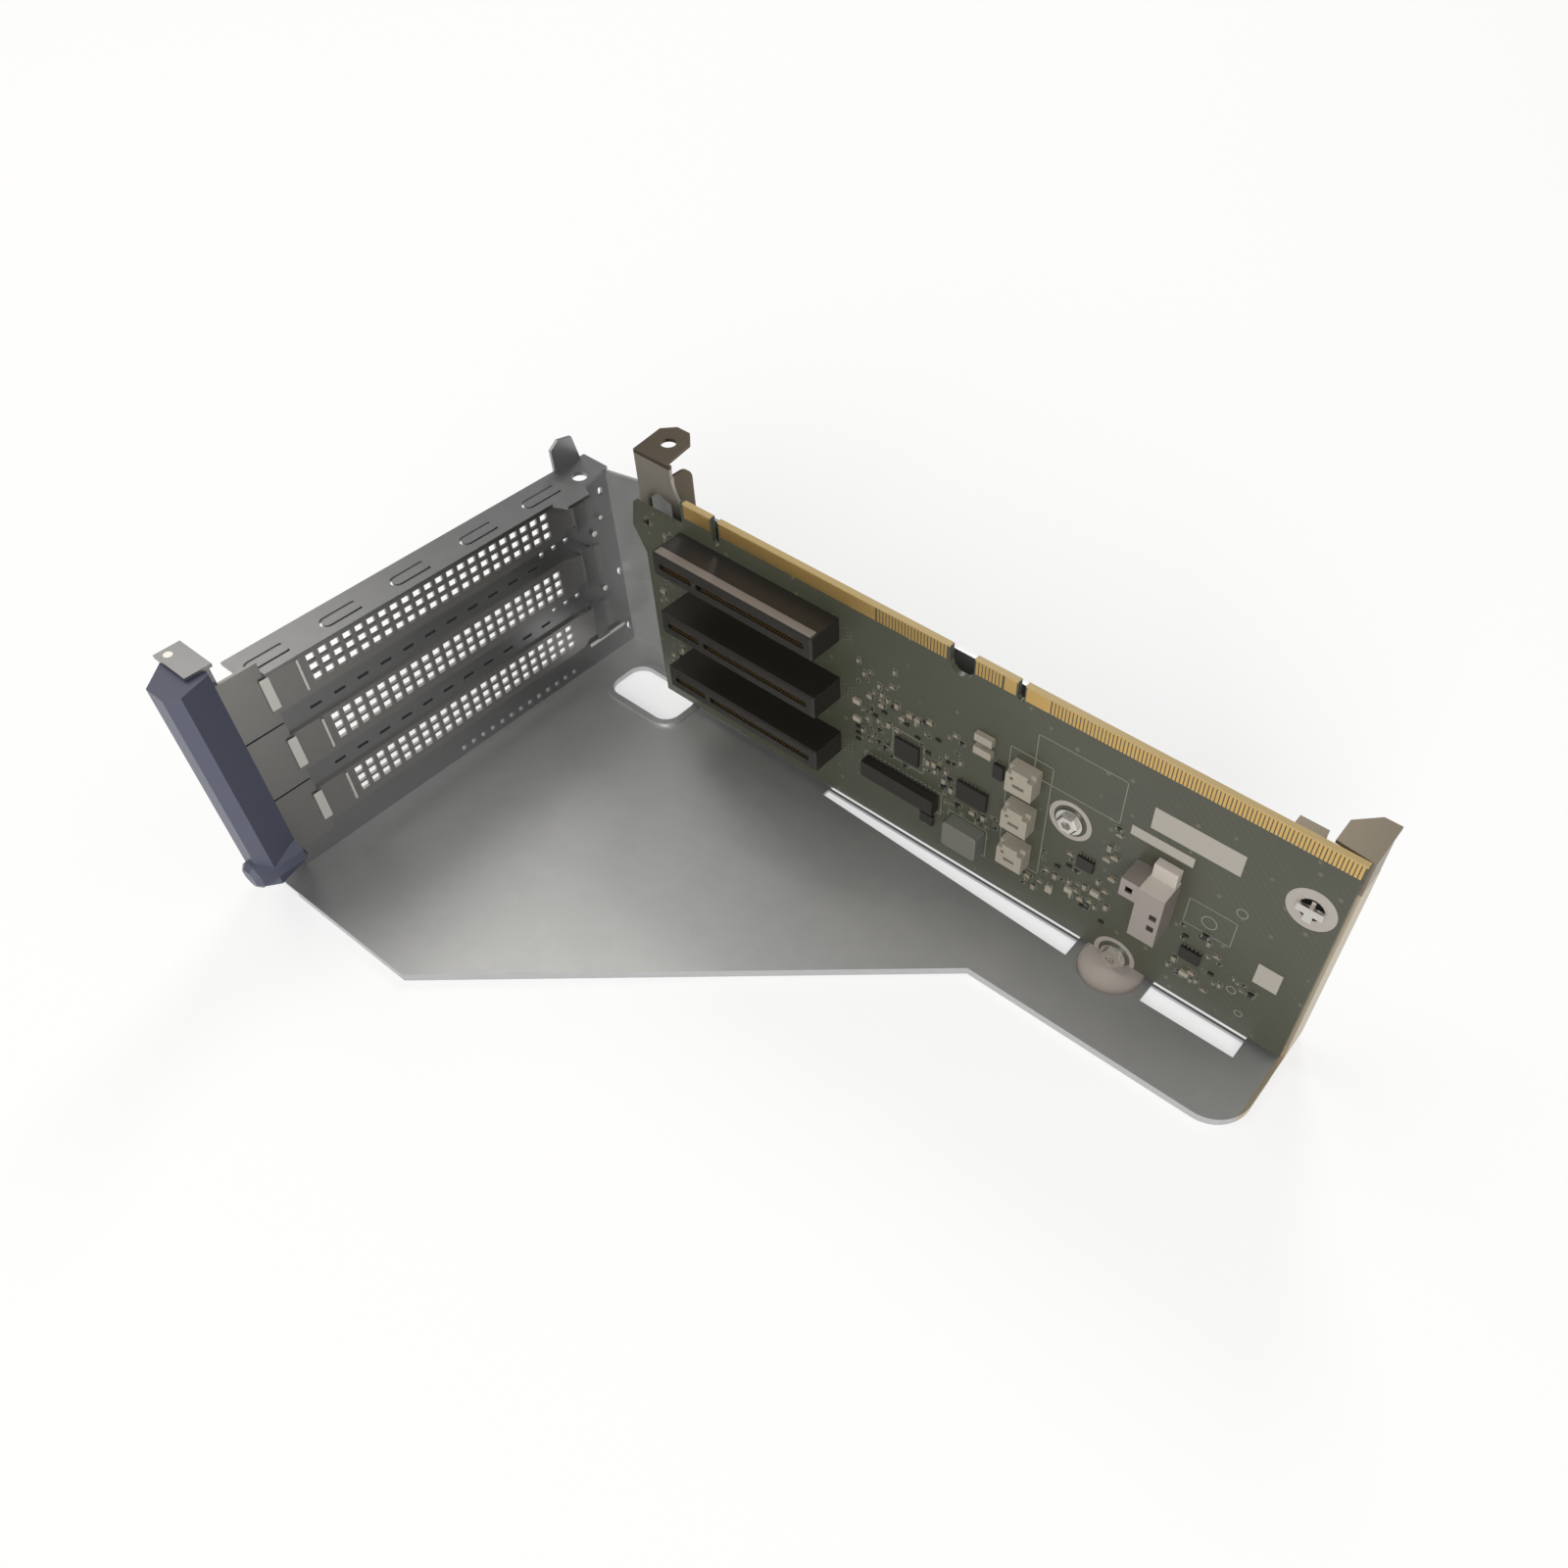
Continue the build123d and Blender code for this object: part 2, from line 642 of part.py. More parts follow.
# White sideband headers
header_left = 155.6
header_size = 8.0
header_height = 4.4
header_centres = (50.4, 36.4, 22.2)
header_slot_width = 3.4
header_slot_height = 1.1
header_slot_depth = 3.0
header_peg = 1.0
header_peg_offset = 2.2
header_step = 1.6
for number, height in enumerate(header_centres, start=1):
    with BuildPart() as sideband_header:
        with BuildSketch(face_at(0)):
            with Locations((header_left + header_size / 2, height)):
                Rectangle(header_size, header_size)
        extrude(amount=header_height)
        with BuildSketch(face_at(header_height)):
            with Locations((header_left + header_size / 2, height - header_slot_height)):
                Rectangle(header_slot_width, header_slot_height)
            with Locations((header_left + header_size / 2 - header_peg_offset, height + header_peg_offset / 2)):
                Rectangle(header_peg, header_peg)
        extrude(amount=-header_slot_depth, mode=Mode.SUBTRACT)
        with BuildSketch(face_at(header_height)):
            with Locations((header_left, height + header_size / 2), (header_left + header_size, height + header_size / 2)):
                Rectangle(2 * header_step, 2 * header_step)
        extrude(amount=-header_step, mode=Mode.SUBTRACT)
    save(sideband_header, "sideband_header_" + str(number))

# Shielded socket: moulded core with a port face, folded shell over it
socket_left = 198.2
socket_right = 205.7
socket_low = 25.5
socket_high = 43.3
socket_top = 48.0
socket_height = 8.0
socket_step = 2.6
socket_wall = 0.5
socket_ear_left = 193.2
socket_ear_low = 37.0
socket_ear_hole = 2.0
port = 2.0
port_heights = (30.6, 34.8)
with BuildPart() as socket_core:
    block(socket_left + socket_wall, socket_right - socket_wall, socket_height - socket_wall, 0,
          socket_low + socket_wall, socket_high - socket_wall)
    block(socket_left + socket_wall, socket_right - socket_wall, socket_step, 0, socket_high - socket_wall, socket_top)
save(socket_core, "socket_core")
with BuildPart() as socket_shell:
    block(socket_left, socket_right, socket_height, 0, socket_low, socket_high)
    block(socket_left + socket_wall, socket_right - socket_wall, socket_height - socket_wall, 0,
          socket_low + socket_wall, socket_high, mode=Mode.SUBTRACT)
    for height in port_heights:
        block(socket_right - port - 2 * socket_wall, socket_right - 2 * socket_wall, socket_height,
              socket_height - socket_wall, height, height + port, mode=Mode.SUBTRACT)
    # side loop with a latch window
    block(socket_ear_left, socket_left, socket_height - socket_wall, 0, socket_ear_low, socket_high)
    block(socket_ear_left + socket_wall, socket_left, socket_height - 2 * socket_wall, 0,
          socket_ear_low + socket_wall, socket_high - socket_wall, mode=Mode.SUBTRACT)
    with BuildSketch(face_at(socket_height)):
        with Locations(((socket_ear_left + socket_left) / 2, (socket_ear_low + socket_high) / 2)):
            Rectangle(socket_ear_hole, socket_ear_hole)
    extrude(amount=-2 * socket_wall, mode=Mode.SUBTRACT)
save(socket_shell, "socket_shell")

# Pin row at the board's lower middle
row_left = 108.0
row_right = 133.0
row_low = 18.8
row_high = 24.9
row_height = 3.2
row_pins = 18
row_pin = 0.3
with BuildPart() as pin_row:
    block(row_left, row_right, row_height, 0, row_low + row_pin, row_high - row_pin)
    with Locations((x((row_left + row_right) / 2), y(contact_thickness), z((row_low + row_high) / 2))):
        with GridLocations((row_right - row_left - 1) / row_pins, 1, row_pins, 1):
            Box(2 * row_pin, 2 * contact_thickness, row_high - row_low + 2 * row_pin)
save(pin_row, "pin_row")

# Small parts, each (left, right, low, high, height)
inductor = (137.3, 148.7, 11.9, 20.9, 4.2)
chips = ((139.2, 148.8, 29.4, 35.9, 1.2), (118.0, 126.0, 31.6, 38.6, 1.0), (127.6, 132.0, 12.0, 15.6, 1.0),
         (149.8, 152.8, 44.4, 49.2, 1.2), (177.6, 182.4, 29.5, 33.6, 1.0), (210.4, 216.2, 18.6, 22.8, 1.0))
capacitors = ((143.6, 149.0, 54.2, 56.6, 1.6), (143.6, 149.0, 49.8, 52.2, 1.6), (103.4, 105.8, 36.0, 37.6, 0.9),
              (103.4, 105.8, 42.5, 44.1, 0.9), (175.6, 178.0, 17.5, 19.4, 0.9), (183.0, 185.6, 22.0, 23.8, 0.9),
              (212.0, 214.6, 12.0, 13.6, 0.9), (170.0, 172.0, 13.0, 15.6, 0.9))
resistors = tuple((start, start + 1.6, low, low + 0.8, 0.45)
                  for start, low in ((110.0, 41.0), (113.0, 44.0), (116.0, 47.5), (120.4, 44.2), (124.2, 41.6),
                                     (128.0, 38.4), (131.6, 35.0), (134.8, 39.0), (131.0, 45.0), (126.6, 48.6),
                                     (104.0, 31.0), (104.0, 33.4), (104.0, 28.6), (171.4, 24.2), (174.6, 26.8),
                                     (180.4, 14.6), (186.8, 12.8), (209.8, 26.0), (214.0, 28.8), (219.0, 17.6)))
inductor_bevel = 0.8
with BuildPart() as power_inductor:
    left, right, low, high, height = inductor
    block(left, right, height, 0, low, high)
    chamfer(power_inductor.edges().filter_by(Axis.Y), inductor_bevel)
    fillet(power_inductor.faces().sort_by(Axis.Y)[0].edges(), inductor_bevel / 2)
save(power_inductor, "power_inductor")
with BuildPart() as logic_chips:
    for left, right, low, high, height in chips:
        block(left, right, height, 0, low, high)
save(logic_chips, "logic_chips")
with BuildPart() as chip_capacitors:
    for left, right, low, high, height in capacitors:
        block(left, right, height, 0, low, high)
save(chip_capacitors, "chip_capacitors")
with BuildPart() as chip_resistors:
    for left, right, low, high, height in resistors:
        block(left, right, height, 0, low, high)
save(chip_resistors, "chip_resistors")

# Rivets that join the rear panel's flange and the foot bracket to the cage
rivet_radius = 1.6
rivet_height = 0.5
rivet_places = ((-6.2, -96.0), (-6.2, -56.0), (-6.2, -14.0))
with BuildPart() as panel_rivets:
    with BuildSketch(level_at(sheet)):
        with Locations(*rivet_places):
            Circle(rivet_radius)
    extrude(amount=rivet_height)
save(panel_rivets, "panel_rivets")

# Blue touch point clipped to the wall above the cut-out
touch_left = 29.0
touch_right = 38.5
touch_low = 0.0
touch_high = 9.0
touch_reach = 2.4
with BuildPart() as touch_tab:
    block(touch_left, touch_right, -wall_gap + touch_reach, -wall_gap, touch_low + rim_height, touch_high)
    fillet(touch_tab.faces().sort_by(Axis.Y)[0].edges(), touch_reach / 3)
save(touch_tab, "touch_tab")
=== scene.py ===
import math
import random

import bmesh
import bpy
from mathutils import Matrix, Vector


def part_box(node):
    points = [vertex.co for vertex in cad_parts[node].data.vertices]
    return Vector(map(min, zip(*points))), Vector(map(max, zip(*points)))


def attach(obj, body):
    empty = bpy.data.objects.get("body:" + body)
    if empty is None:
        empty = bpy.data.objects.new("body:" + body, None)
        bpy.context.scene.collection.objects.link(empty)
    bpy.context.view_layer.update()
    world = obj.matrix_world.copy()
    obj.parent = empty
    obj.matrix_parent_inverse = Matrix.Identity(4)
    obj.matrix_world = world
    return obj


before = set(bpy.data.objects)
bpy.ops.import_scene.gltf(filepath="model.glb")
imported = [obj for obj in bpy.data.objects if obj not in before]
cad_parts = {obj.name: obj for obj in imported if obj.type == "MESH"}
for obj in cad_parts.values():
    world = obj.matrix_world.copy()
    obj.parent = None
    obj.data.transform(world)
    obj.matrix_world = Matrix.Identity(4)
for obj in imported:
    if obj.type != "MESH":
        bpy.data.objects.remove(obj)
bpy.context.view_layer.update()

random.seed(7)
boardLow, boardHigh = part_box("riser_board")
# zero of the working frame: rear panel's inner face, board's front face, top of the plate;
# the board's far end and top edge are this far from it, in metres
boardReach = {"end": 0.2436, "top": 0.0784}
cageZero = Vector((boardHigh.x - boardReach["end"], boardLow.y, boardHigh.z - boardReach["top"]))


# Modelling helpers, in millimetres of the working frame
def at(x, y, z):
    return cageZero + Vector((x, y, z)) / 1000


def addBlock(bm, a, b):
    # box between two corners given in metres
    middle, size = Matrix.Translation((a + b) / 2), Matrix.Diagonal((b - a).to_4d())
    return bmesh.ops.create_cube(bm, size=1.0, matrix=middle @ size)


def edgesOf(verts):
    return list(dict.fromkeys(e for v in verts for e in v.link_edges))


def addBox(bm, low, high, bevel=0.0):
    made = addBlock(bm, at(*low), at(*high))
    if bevel:
        bmesh.ops.bevel(bm, geom=edgesOf(made["verts"]), offset=bevel / 1000, segments=2, profile=0.6,
                        affect="EDGES", clamp_overlap=True)


turns = {"X": Matrix.Rotation(math.radians(90), 4, "Y"), "Y": Matrix.Rotation(math.radians(90), 4, "X"),
         "Z": Matrix.Identity(4)}


def addDisc(bm, centre, radius, depth, axis, segments):
    bmesh.ops.create_cone(bm, cap_ends=True, segments=segments, radius1=radius / 1000, radius2=radius / 1000,
                          depth=depth / 1000, matrix=Matrix.Translation(at(*centre)) @ turns[axis])


def addRing(bm, centre, outer, inner, depth, segments):
    front = Matrix.Translation(at(centre[0], centre[1] - depth, centre[2])) @ turns["Y"]
    rims = []
    for radius in (outer, inner):
        circle = bmesh.ops.create_circle(bm, segments=segments, radius=radius / 1000, matrix=front)
        rims += edgesOf(circle["verts"])
    face = bmesh.ops.bridge_loops(bm, edges=rims)
    grown = bmesh.ops.extrude_face_region(bm, geom=face["faces"])
    moved = [part for part in grown["geom"] if isinstance(part, bmesh.types.BMVert)]
    bmesh.ops.translate(bm, verts=moved, vec=(0, depth / 1000, 0))


def piece(name, make, material, body="cage", smooth=False):
    mesh = bpy.data.meshes.new(name)
    bm = bmesh.new()
    make(bm)
    bmesh.ops.recalc_face_normals(bm, faces=bm.faces)
    bm.to_mesh(mesh)
    bm.free()
    obj = bpy.data.objects.new(name, mesh)
    bpy.context.scene.collection.objects.link(obj)
    mesh.materials.append(material)
    if smooth:
        for polygon in mesh.polygons:
            polygon.use_smooth = True
    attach(obj, body)


# Shader helpers
def newGroup(name, inputs, outputs):
    group = bpy.data.node_groups.new(name, "ShaderNodeTree")
    for label, value in inputs:
        socket = group.interface.new_socket(label, in_out="INPUT", socket_type="NodeSocketFloat")
        socket.default_value = value
    for label, kind in outputs:
        group.interface.new_socket(label, in_out="OUTPUT", socket_type=kind)
    return group, group.nodes.new("NodeGroupInput"), group.nodes.new("NodeGroupOutput")


def node(tree, kind, settings=None, **values):
    made = tree.nodes.new(kind)
    for key, value in values.items():
        setattr(made, key, value)
    for key, value in (settings or {}).items():
        made.inputs[key].default_value = value
    return made


# Grain of rolled sheet: colour factor, change of roughness and a bump normal
grainLook = {"fine": 60.0, "fineDetail": 5, "stretch": (1.0, 9.0, 9.0), "broad": 14, "broadDetail": 2,
             "cells": 220, "spangle": 0.5, "tone": (0.95, 1.04), "rough": (-0.03, 0.04), "bump": 0.025,
             "bumpDistance": 0.0003}


def makeGrain(look):
    group, gin, gout = newGroup("sheetGrain", [("Spangle", look["spangle"])],
                                [("Tone", "NodeSocketFloat"), ("Rough", "NodeSocketFloat"),
                                 ("Normal", "NodeSocketVector")])
    coord = node(group, "ShaderNodeTexCoord")
    stretch = node(group, "ShaderNodeMapping", {"Scale": look["stretch"]})
    fine = node(group, "ShaderNodeTexNoise", {"Scale": look["fine"], "Detail": look["fineDetail"]})
    broad = node(group, "ShaderNodeTexNoise", {"Scale": look["broad"], "Detail": look["broadDetail"]})
    cells = node(group, "ShaderNodeTexVoronoi", {"Scale": look["cells"]})
    mix = node(group, "ShaderNodeMix", data_type="FLOAT")
    tone = node(group, "ShaderNodeMapRange", {"To Min": look["tone"][0], "To Max": look["tone"][1]})
    rough = node(group, "ShaderNodeMapRange", {"To Min": look["rough"][0], "To Max": look["rough"][1]})
    bump = node(group, "ShaderNodeBump", {"Strength": look["bump"], "Distance": look["bumpDistance"]})
    links = group.links
    links.new(coord.outputs["Object"], stretch.inputs["Vector"])
    links.new(stretch.outputs["Vector"], fine.inputs["Vector"])
    links.new(coord.outputs["Object"], broad.inputs["Vector"])
    links.new(coord.outputs["Object"], cells.inputs["Vector"])
    links.new(gin.outputs["Spangle"], mix.inputs["Factor"])
    links.new(broad.outputs["Fac"], mix.inputs["A"])
    links.new(cells.outputs["Color"], mix.inputs["B"])
    links.new(mix.outputs["Result"], tone.inputs["Value"])
    links.new(fine.outputs["Fac"], rough.inputs["Value"])
    links.new(fine.outputs["Fac"], bump.inputs["Height"])
    links.new(tone.outputs["Result"], gout.inputs["Tone"])
    links.new(rough.outputs["Result"], gout.inputs["Rough"])
    links.new(bump.outputs["Normal"], gout.inputs["Normal"])
    return group


# Copper runs under the board's lacquer, vias and mottling, as masks
printLook = {"flatten": (1.0, 0.0, 1.0), "patches": 60, "patchGate": (0.5, 0.56), "bands": 260,
             "bandWarp": 0.6, "bandGate": (0.55, 0.75), "vias": 210, "viaGate": (0.16, 0.10), "mottle": 18,
             "bump": 0.04, "bumpDistance": 0.0001}


def makeBoardPrint(look):
    group, _, gout = newGroup("boardPrint", [],
                              [("Runs", "NodeSocketFloat"), ("Vias", "NodeSocketFloat"),
                               ("Mottle", "NodeSocketFloat"), ("Normal", "NodeSocketVector")])

    def gate(limits):
        return node(group, "ShaderNodeMapRange", {"From Min": limits[0], "From Max": limits[1]})

    coord = node(group, "ShaderNodeTexCoord")
    flat = node(group, "ShaderNodeMapping", {"Scale": look["flatten"]})
    patches = node(group, "ShaderNodeTexVoronoi", {"Scale": look["patches"]},
                   feature="F1", distance="MANHATTAN")
    bands = node(group, "ShaderNodeTexWave", {"Scale": look["bands"], "Distortion": look["bandWarp"]},
                 bands_direction="DIAGONAL")
    vias = node(group, "ShaderNodeTexVoronoi", {"Scale": look["vias"]}, feature="F1")
    mottle = node(group, "ShaderNodeTexNoise", {"Scale": look["mottle"]})
    bandGate, patchGate, viaGate = gate(look["bandGate"]), gate(look["patchGate"]), gate(look["viaGate"])
    runs = node(group, "ShaderNodeMath", operation="MULTIPLY")
    bump = node(group, "ShaderNodeBump", {"Strength": look["bump"], "Distance": look["bumpDistance"]})
    links = group.links
    links.new(coord.outputs["Object"], flat.inputs["Vector"])
    for texture in (patches, bands, vias, mottle):
        links.new(flat.outputs["Vector"], texture.inputs["Vector"])
    links.new(bands.outputs["Fac"], bandGate.inputs["Value"])
    links.new(patches.outputs["Distance"], patchGate.inputs["Value"])
    links.new(vias.outputs["Distance"], viaGate.inputs["Value"])
    links.new(bandGate.outputs["Result"], runs.inputs[0])
    links.new(patchGate.outputs["Result"], runs.inputs[1])
    links.new(runs.outputs[0], bump.inputs["Height"])
    links.new(runs.outputs[0], gout.inputs["Runs"])
    links.new(viaGate.outputs["Result"], gout.inputs["Vias"])
    links.new(mottle.outputs["Fac"], gout.inputs["Mottle"])
    links.new(bump.outputs["Normal"], gout.inputs["Normal"])
    return group


grainGroup = makeGrain(grainLook)
boardGroup = makeBoardPrint(printLook)


def newMaterial(name, color, rough, metallic=0.0, coat=0.0, specular=0.5):
    material = bpy.data.materials.new(name)
    material.use_nodes = True
    shader = material.node_tree.nodes["Principled BSDF"]
    shader.inputs["Base Color"].default_value = (*color, 1)
    shader.inputs["Roughness"].default_value = rough
    shader.inputs["Metallic"].default_value = metallic
    shader.inputs["Coat Weight"].default_value = coat
    shader.inputs["Specular IOR Level"].default_value = specular
    return material


def grained(name, color, rough, metallic=1.0, spangle=0.5):
    material = newMaterial(name, color, rough, metallic)
    tree = material.node_tree
    shader = tree.nodes["Principled BSDF"]
    grain = node(tree, "ShaderNodeGroup", node_tree=grainGroup)
    grain.inputs["Spangle"].default_value = spangle
    tint = node(tree, "ShaderNodeVectorMath", {0: color}, operation="SCALE")
    level = node(tree, "ShaderNodeMath", {1: rough}, operation="ADD", use_clamp=True)
    tree.links.new(grain.outputs["Tone"], tint.inputs["Scale"])
    tree.links.new(tint.outputs[0], shader.inputs["Base Color"])
    tree.links.new(grain.outputs["Rough"], level.inputs[0])
    tree.links.new(level.outputs[0], shader.inputs["Roughness"])
    tree.links.new(grain.outputs["Normal"], shader.inputs["Normal"])
    return material


def paintedFoldReflection(material, color, beyond):
    # past any of the folds, each an axis and a place in metres, the sheet takes another tone: a painted
    # reflection of the surroundings, not a colour of the steel
    tree = material.node_tree
    base = tree.nodes["Principled BSDF"].inputs["Base Color"]
    coord = node(tree, "ShaderNodeTexCoord")
    axes = node(tree, "ShaderNodeSeparateXYZ")
    tree.links.new(coord.outputs["Object"], axes.inputs[0])
    mask = None
    for axis, place in beyond:
        step = node(tree, "ShaderNodeMath", {1: place}, operation="GREATER_THAN")
        tree.links.new(axes.outputs[axis], step.inputs[0])
        if mask is None:
            mask = step.outputs[0]
        else:
            either = node(tree, "ShaderNodeMath", operation="MAXIMUM")
            tree.links.new(mask, either.inputs[0])
            tree.links.new(step.outputs[0], either.inputs[1])
            mask = either.outputs[0]
    mix = node(tree, "ShaderNodeMix", data_type="RGBA")
    mix.inputs["B"].default_value = (*color, 1)
    tree.links.new(mask, mix.inputs["Factor"])
    tree.links.new(base.links[0].from_socket, mix.inputs["A"])
    tree.links.new(mix.outputs["Result"], base)


def boardMaterial(look):
    material = newMaterial("boardLacquer", look["lacquer"], look["rough"], coat=look["coat"])
    tree = material.node_tree
    shader = tree.nodes["Principled BSDF"]
    shader.inputs["Coat Roughness"].default_value = look["coatRough"]
    printed = node(tree, "ShaderNodeGroup", node_tree=boardGroup)
    withRuns = node(tree, "ShaderNodeMix", data_type="RGBA")
    withRuns.inputs["A"].default_value = (*look["lacquer"], 1)
    withRuns.inputs["B"].default_value = (*look["runs"], 1)
    withVias = node(tree, "ShaderNodeMix", data_type="RGBA")
    withVias.inputs["B"].default_value = (*look["vias"], 1)
    mottled = node(tree, "ShaderNodeMix", data_type="RGBA", blend_type="MULTIPLY")
    mottled.inputs["Factor"].default_value = look["mottle"]
    tree.links.new(printed.outputs["Runs"], withRuns.inputs["Factor"])
    tree.links.new(withRuns.outputs["Result"], withVias.inputs["A"])
    tree.links.new(printed.outputs["Vias"], withVias.inputs["Factor"])
    tree.links.new(withVias.outputs["Result"], mottled.inputs["A"])
    tree.links.new(printed.outputs["Mottle"], mottled.inputs["B"])
    tree.links.new(mottled.outputs["Result"], shader.inputs["Base Color"])
    tree.links.new(printed.outputs["Normal"], shader.inputs["Normal"])
    return material


boardLook = {"lacquer": (0.057, 0.059, 0.038), "runs": (0.062, 0.065, 0.042), "vias": (0.12, 0.12, 0.075),
             "mottle": 0.4, "rough": 0.42, "coat": 0.2, "coatRough": 0.25}
# the end flange's cream, the end tab's brown and the foot's dark top and back are painted reflections, not
# colours of the steel
steelLook = {"plate": (0.48, 0.485, 0.485), "plateRough": 0.42, "plateMetal": 0.8,
             "endFlangeReflection": (0.50, 0.43, 0.32), "endTabReflection": (0.27, 0.23, 0.175),
             "panel": (0.31, 0.31, 0.312), "panelRough": 0.34,
             "cover": (0.36, 0.35, 0.335), "coverRough": 0.42,
             "foot": (0.44, 0.405, 0.35), "footRough": 0.4, "footDarkReflection": (0.135, 0.11, 0.08)}
# folds past which plate and foot take a painted reflection tone
folds = {"endFlange": 243.2, "endTab": 67, "footTop": 82.9, "footBack": 5.2}

plateSteel = grained("galvanisedPlate", steelLook["plate"], steelLook["plateRough"], steelLook["plateMetal"])
# painted reflection: cream on the plate's end flange, brown on its end tab
paintedFoldReflection(plateSteel, steelLook["endFlangeReflection"], (("X", at(folds["endFlange"], 0, 0).x),))
paintedFoldReflection(plateSteel, steelLook["endTabReflection"], (("Z", at(0, 0, folds["endTab"]).z),))
footSteel = grained("footSteel", steelLook["foot"], steelLook["footRough"])
# painted dark reflection on the foot past its top and back folds
paintedFoldReflection(footSteel, steelLook["footDarkReflection"], (("Z", at(0, 0, folds["footTop"]).z),
                                            ("Y", at(0, folds["footBack"], 0).y)))
materials = {
    "plate": plateSteel,
    "foot": footSteel,
    "panel": grained("galvanisedPanel", steelLook["panel"], steelLook["panelRough"]),
    "cover": grained("coverSteel", steelLook["cover"], steelLook["coverRough"], spangle=0.3),
    # painted highlight: lighter steel for the covers' rib crowns and the panel's dimples and strap
    "paintedHighlight": grained("paintedHighlightSteel", (0.62, 0.605, 0.565), 0.5, metallic=0.35, spangle=0.1),
    # painted shade, near black, for the spots beside the tongues and the panel's slits
    "recessPaintedShade": newMaterial("recessShade", (0.02, 0.02, 0.022), 0.6),
    "lid": newMaterial("socketLidCream", (0.44, 0.40, 0.36), 0.5),
    # painted highlight: brownish band on the top connector's front edge
    "rim": newMaterial("paintedConnectorHighlight", (0.17, 0.145, 0.125), 0.35),
    "bright": grained("brightTin", (0.62, 0.60, 0.56), 0.32, spangle=0.2),
    "pin": grained("turnedSteel", (0.68, 0.66, 0.62), 0.25, spangle=0.1),
    "board": boardMaterial(boardLook),
    "gold": grained("hardGold", (0.66, 0.44, 0.16), 0.40, spangle=0.15),
    "latch": newMaterial("slateBluePlastic", (0.068, 0.073, 0.112), 0.42),
    "black": newMaterial("connectorBlack", (0.014, 0.012, 0.009), 0.36),
    "cream": newMaterial("headerCream", (0.28, 0.255, 0.205), 0.5),
    "ferrite": newMaterial("ferriteGrey", (0.12, 0.12, 0.105), 0.55),
    "label": newMaterial("labelPaper", (0.32, 0.30, 0.26), 0.6),
    "print": newMaterial("silkInk", (0.185, 0.19, 0.155), 0.6),
    "ceramic": newMaterial("ceramicTan", (0.22, 0.19, 0.14), 0.5),
    "solder": grained("solderTin", (0.34, 0.33, 0.30), 0.42, spangle=0.1),
    "pad": grained("padTin", (0.42, 0.39, 0.355), 0.48, metallic=0.6, spangle=0.1),
    "socket": grained("socketTin", (0.33, 0.29, 0.268), 0.45, metallic=0.7, spangle=0.1),
    # painted light: pale beige for the pocket's floor disc
    "pocket": grained("pocketPaintedLight", (0.46, 0.405, 0.37), 0.6, metallic=0.2, spangle=0.1),
    "laminateEdge": newMaterial("laminateEdge", (0.40, 0.29, 0.12), 0.5),
}
nodeMaterials = {
    "cage_shell": "plate", "rear_panel": "panel", "foot_bracket": "foot",
    "slot_cover_1": "cover", "slot_cover_2": "cover", "slot_cover_3": "cover",
    "retention_latch": "latch", "touch_tab": "latch",
    "latch_pin": "pin", "panel_rivets": "pin", "board_screws": "pin",
    "riser_board": "board", "edge_contacts": "gold", "ground_pads": "pad", "board_hook": "bright",
    "card_connector_1": "black", "card_connector_2": "black", "card_connector_3": "black",
    "sideband_header_1": "cream", "sideband_header_2": "cream", "sideband_header_3": "cream",
    "socket_core": "black", "socket_shell": "socket", "pin_row": "black", "power_inductor": "ferrite",
    "logic_chips": "black", "chip_capacitors": "cream", "chip_resistors": "black",
}
for name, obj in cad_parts.items():
    obj.data.materials.clear()
    obj.data.materials.append(materials[nodeMaterials[name]])
print("materials done")

# Contacts inside the card connectors' grooves, none at the key
contactRows = {"start": 45.2, "end": 95.0, "pitch": 1.0, "heights": (64.46, 44.14, 23.82), "front": -10.6,
               "back": -4.0, "width": 0.45, "reach": 0.32, "groove": 0.875, "keyStart": 56.0, "keyEnd": 58.4}


def makeContacts(bm):
    r = contactRows
    for height in r["heights"]:
        x = r["start"]
        while x < r["end"]:
            if not r["keyStart"] < x < r["keyEnd"]:
                for side in (-1, 1):
                    low, high = sorted((side * (r["groove"] - r["reach"]), side * r["groove"]))
                    addBox(bm, (x, r["front"], height + low), (x + r["width"], r["back"], height + high))
            x += r["pitch"]


piece("connectorContacts", makeContacts, materials["gold"])

# Solder tails around the connectors' ends: left, low, columns and rows of each field
tails = {"radius": 0.28, "pitch": 1.25, "stagger": 0.6, "rise": 0.06, "sides": 10,
         "fields": ((99.8, 62.0, 3, 5), (99.8, 41.5, 3, 5), (99.8, 21.0, 3, 5), (33.0, 46.0, 3, 6),
                    (33.0, 26.0, 3, 6))}


def makeTails(bm):
    t = tails
    for left, low, across, up in t["fields"]:
        for i in range(across):
            for k in range(up):
                x, z = left + i * t["pitch"], low + k * t["pitch"] + (i % 2) * t["stagger"]
                addDisc(bm, (x, -t["rise"] / 2, z), t["radius"], t["rise"], "Y", t["sides"])


piece("solderTails", makeTails, materials["solder"])

# Legs of the small chips: left, right, low, high and legs a side of each chip
chipLegs = {"reach": 0.9, "width": 0.32, "rise": 0.35,
            "chips": ((139.2, 148.8, 29.4, 35.9, 8), (118.0, 126.0, 31.6, 38.6, 8),
                      (149.8, 152.8, 44.4, 49.2, 4), (177.6, 182.4, 29.5, 33.6, 5),
                      (210.4, 216.2, 18.6, 22.8, 5))}


